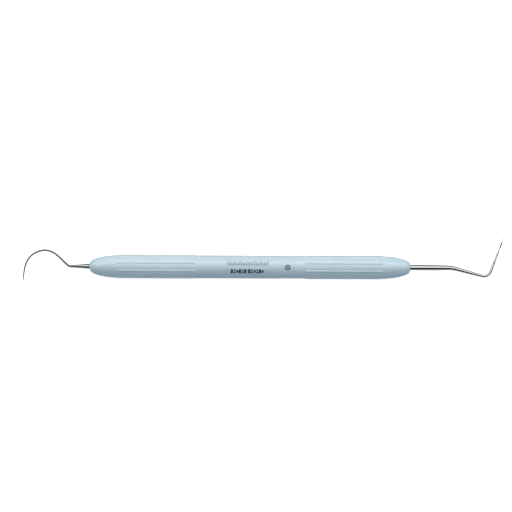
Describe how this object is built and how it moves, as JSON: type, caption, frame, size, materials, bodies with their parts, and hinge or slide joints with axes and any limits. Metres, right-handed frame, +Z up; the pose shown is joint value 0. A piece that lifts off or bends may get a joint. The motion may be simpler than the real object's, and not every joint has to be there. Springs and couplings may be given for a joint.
{
  "type": "periodontal probe",
  "caption": "Double-ended periodontal hand instrument with a graduated ball-ended depth probe, a shepherd's-hook explorer and a ribbed soft handle.",
  "frame": {"origin": "middle of the handle's length, on the surface that the instrument lies on", "axes": "+X along the handle towards the graduated probe, +Y towards the side its working end points to, +Z up from the surface, square to the plane of both tips"},
  "size_m": [0.175, 0.0185, 0.0085],
  "materials": {
    "silicone_grip": "satin moulded silicone",
    "core_steel": "drawn tube, plain",
    "plug_steel": "turned",
    "tip_steel": "polished stainless steel",
    "black_mark": "matt black filled marking"
  },
  "bodies": {
    "root": {"grip_sleeve": "silicone_grip", "core_tube": "core_steel", "explorer_end_plug": "plug_steel", "probe_end_plug": "plug_steel", "explorer_tip": "tip_steel", "probe_tip": "tip_steel", "depth_band_3p5_5p5": "black_mark", "depth_line_8p5": "black_mark", "depth_line_11p5": "black_mark"}
  },
  "joints": []
}
